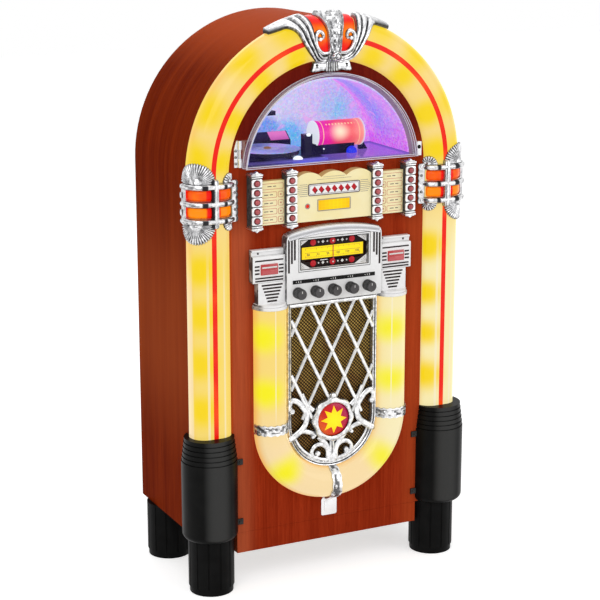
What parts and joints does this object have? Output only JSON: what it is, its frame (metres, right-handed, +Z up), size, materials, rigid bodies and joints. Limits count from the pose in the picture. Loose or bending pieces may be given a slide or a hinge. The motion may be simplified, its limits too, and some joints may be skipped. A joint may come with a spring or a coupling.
{
  "type": "jukebox radio",
  "caption": "Floor-standing arched jukebox radio with lit tubes, disc window, key rails, dial fascia with knobs, and a grille between the legs of a U-shaped light tube.",
  "frame": {"origin": "on the floor under the middle of the whole object", "axes": "+Z up, the front with its window and dial faces -Y, +X to the right seen from the front"},
  "size_m": [0.587, 0.32, 1.069],
  "materials": {
    "side_veneer": "satin veneer",
    "front_veneer": "satin veneer",
    "raw_board": "matte",
    "black_plastic": "satin",
    "knob_black": "satin",
    "lit_cream": "lit",
    "lit_red": "lit",
    "lit_amber": "lit",
    "bright_chrome": "polished",
    "silver_plastic": "metallised",
    "clear_acrylic": "clear",
    "lit_backdrop": "lit glitter",
    "deck_dark": "gloss",
    "disc_silver": "gloss",
    "lit_drum": "lit",
    "cream_plastic": "satin",
    "lit_display": "lit",
    "dial_black": "satin",
    "pointer_red": "satin",
    "key_red": "gloss",
    "medal_red": "gloss",
    "grille_weave": "woven",
    "dark_metal": "satin",
    "board_green": "satin",
    "screw_steel": "satin"
  },
  "bodies": {
    "cabinet": {"cabinet_shell": "side_veneer", "front_panel": "front_veneer", "baffle_board": "raw_board", "base_board": "raw_board", "back_panel": "raw_board", "feet": "black_plastic", "column_boots": "black_plastic", "mains_inlet": "black_plastic", "light_tubes": "lit_cream", "u_tube": "lit_cream", "red_stripes": "lit_red", "amber_lenses": "lit_amber", "side_clasps": "bright_chrome", "crown": "bright_chrome", "button_rails": "bright_chrome", "speaker_grille": "bright_chrome", "door_fittings": "bright_chrome", "radio_fascia": "silver_plastic", "display_box": "lit_backdrop", "cd_deck": "deck_dark", "lamp_drum": "lit_drum", "title_panels": "cream_plastic", "lcd_display": "lit_display", "dial_face": "dial_black", "medallion": "medal_red", "grille_cloth": "grille_weave", "speakers": "dark_metal", "power_supply": "dark_metal", "circuit_boards": "board_green", "screws": "screw_steel"},
    "window_door": {"window_door": "clear_acrylic"},
    "dial_pointer": {"dial_pointer": "pointer_red"},
    "cd_platter": {"cd_platter": "disc_silver"},
    "power_button": {"power_button": "key_red"},
    "light_button": {"light_button": "key_red"},
    "volume_knob": {"volume_knob": "knob_black"},
    "treble_knob": {"treble_knob": "knob_black"},
    "tuning_knob": {"tuning_knob": "knob_black"},
    "bass_knob": {"bass_knob": "knob_black"},
    "band_knob": {"band_knob": "knob_black"},
    "select_button_a1": {"select_button_a1": "key_red"},
    "select_button_a2": {"select_button_a2": "key_red"},
    "select_button_a3": {"select_button_a3": "key_red"},
    "select_button_a4": {"select_button_a4": "key_red"},
    "select_button_a5": {"select_button_a5": "key_red"},
    "select_button_b1": {"select_button_b1": "key_red"},
    "select_button_b2": {"select_button_b2": "key_red"},
    "select_button_b3": {"select_button_b3": "key_red"},
    "select_button_b4": {"select_button_b4": "key_red"},
    "select_button_b5": {"select_button_b5": "key_red"},
    "select_button_c1": {"select_button_c1": "key_red"},
    "select_button_c2": {"select_button_c2": "key_red"},
    "select_button_c3": {"select_button_c3": "key_red"},
    "select_button_c4": {"select_button_c4": "key_red"},
    "select_button_c5": {"select_button_c5": "key_red"},
    "select_button_d1": {"select_button_d1": "key_red"},
    "select_button_d2": {"select_button_d2": "key_red"},
    "select_button_d3": {"select_button_d3": "key_red"},
    "select_button_d4": {"select_button_d4": "key_red"},
    "select_button_d5": {"select_button_d5": "key_red"}
  },
  "joints": [
    {"name": "window_door_hinge", "type": "hinge", "parent": "cabinet", "child": "window_door", "pos_m": [-0.1812, -0.1222, 0.799], "axis": [0, 0, -1], "range_deg": [0, 90]},
    {"name": "volume_knob_turn", "type": "hinge", "parent": "cabinet", "child": "volume_knob", "pos_m": [-0.076, -0.14, 0.563], "axis": [0, 1, 0], "range_deg": [-150, 150]},
    {"name": "treble_knob_turn", "type": "hinge", "parent": "cabinet", "child": "treble_knob", "pos_m": [-0.04, -0.14, 0.563], "axis": [0, 1, 0], "range_deg": [-150, 150]},
    {"name": "tuning_knob_turn", "type": "hinge", "parent": "cabinet", "child": "tuning_knob", "pos_m": [-0.004, -0.14, 0.563], "axis": [0, 1, 0], "range_deg": [-270, 270]},
    {"name": "bass_knob_turn", "type": "hinge", "parent": "cabinet", "child": "bass_knob", "pos_m": [0.032, -0.14, 0.563], "axis": [0, 1, 0], "range_deg": [-150, 150]},
    {"name": "band_knob_turn", "type": "hinge", "parent": "cabinet", "child": "band_knob", "pos_m": [0.068, -0.14, 0.563], "axis": [0, 1, 0], "range_deg": [-45, 45]},
    {"name": "dial_pointer_slide", "type": "slide", "parent": "cabinet", "child": "dial_pointer", "axis": [1, 0, 0], "range_m": [-0.056, 0.056]},
    {"name": "cd_platter_spin", "type": "hinge", "parent": "cabinet", "child": "cd_platter", "pos_m": [-0.09599, -0.056, 0.812], "axis": [0, 0, 1], "continuous": true},
    {"name": "power_button_press", "type": "slide", "parent": "cabinet", "child": "power_button", "axis": [0, 1, 0], "range_m": [0, 0.002], "stiffness_N_per_m": 500},
    {"name": "light_button_press", "type": "slide", "parent": "cabinet", "child": "light_button", "axis": [0, 1, 0], "range_m": [0, 0.002], "stiffness_N_per_m": 500},
    {"name": "select_button_a1_press", "type": "slide", "parent": "cabinet", "child": "select_button_a1", "axis": [0, 1, 0], "range_m": [0, 0.0015], "stiffness_N_per_m": 400},
    {"name": "select_button_a2_press", "type": "slide", "parent": "cabinet", "child": "select_button_a2", "axis": [0, 1, 0], "range_m": [0, 0.0015], "stiffness_N_per_m": 400},
    {"name": "select_button_a3_press", "type": "slide", "parent": "cabinet", "child": "select_button_a3", "axis": [0, 1, 0], "range_m": [0, 0.0015], "stiffness_N_per_m": 400},
    {"name": "select_button_a4_press", "type": "slide", "parent": "cabinet", "child": "select_button_a4", "axis": [0, 1, 0], "range_m": [0, 0.0015], "stiffness_N_per_m": 400},
    {"name": "select_button_a5_press", "type": "slide", "parent": "cabinet", "child": "select_button_a5", "axis": [0, 1, 0], "range_m": [0, 0.0015], "stiffness_N_per_m": 400},
    {"name": "select_button_b1_press", "type": "slide", "parent": "cabinet", "child": "select_button_b1", "axis": [0, 1, 0], "range_m": [0, 0.0015], "stiffness_N_per_m": 400},
    {"name": "select_button_b2_press", "type": "slide", "parent": "cabinet", "child": "select_button_b2", "axis": [0, 1, 0], "range_m": [0, 0.0015], "stiffness_N_per_m": 400},
    {"name": "select_button_b3_press", "type": "slide", "parent": "cabinet", "child": "select_button_b3", "axis": [0, 1, 0], "range_m": [0, 0.0015], "stiffness_N_per_m": 400},
    {"name": "select_button_b4_press", "type": "slide", "parent": "cabinet", "child": "select_button_b4", "axis": [0, 1, 0], "range_m": [0, 0.0015], "stiffness_N_per_m": 400},
    {"name": "select_button_b5_press", "type": "slide", "parent": "cabinet", "child": "select_button_b5", "axis": [0, 1, 0], "range_m": [0, 0.0015], "stiffness_N_per_m": 400},
    {"name": "select_button_c1_press", "type": "slide", "parent": "cabinet", "child": "select_button_c1", "axis": [0, 1, 0], "range_m": [0, 0.0015], "stiffness_N_per_m": 400},
    {"name": "select_button_c2_press", "type": "slide", "parent": "cabinet", "child": "select_button_c2", "axis": [0, 1, 0], "range_m": [0, 0.0015], "stiffness_N_per_m": 400},
    {"name": "select_button_c3_press", "type": "slide", "parent": "cabinet", "child": "select_button_c3", "axis": [0, 1, 0], "range_m": [0, 0.0015], "stiffness_N_per_m": 400},
    {"name": "select_button_c4_press", "type": "slide", "parent": "cabinet", "child": "select_button_c4", "axis": [0, 1, 0], "range_m": [0, 0.0015], "stiffness_N_per_m": 400},
    {"name": "select_button_c5_press", "type": "slide", "parent": "cabinet", "child": "select_button_c5", "axis": [0, 1, 0], "range_m": [0, 0.0015], "stiffness_N_per_m": 400},
    {"name": "select_button_d1_press", "type": "slide", "parent": "cabinet", "child": "select_button_d1", "axis": [0, 1, 0], "range_m": [0, 0.0015], "stiffness_N_per_m": 400},
    {"name": "select_button_d2_press", "type": "slide", "parent": "cabinet", "child": "select_button_d2", "axis": [0, 1, 0], "range_m": [0, 0.0015], "stiffness_N_per_m": 400},
    {"name": "select_button_d3_press", "type": "slide", "parent": "cabinet", "child": "select_button_d3", "axis": [0, 1, 0], "range_m": [0, 0.0015], "stiffness_N_per_m": 400},
    {"name": "select_button_d4_press", "type": "slide", "parent": "cabinet", "child": "select_button_d4", "axis": [0, 1, 0], "range_m": [0, 0.0015], "stiffness_N_per_m": 400},
    {"name": "select_button_d5_press", "type": "slide", "parent": "cabinet", "child": "select_button_d5", "axis": [0, 1, 0], "range_m": [0, 0.0015], "stiffness_N_per_m": 400}
  ],
  "couplings": [
    {"joint": "dial_pointer_slide", "follows": "tuning_knob_turn", "m_per_rad": 0.011862}
  ]
}
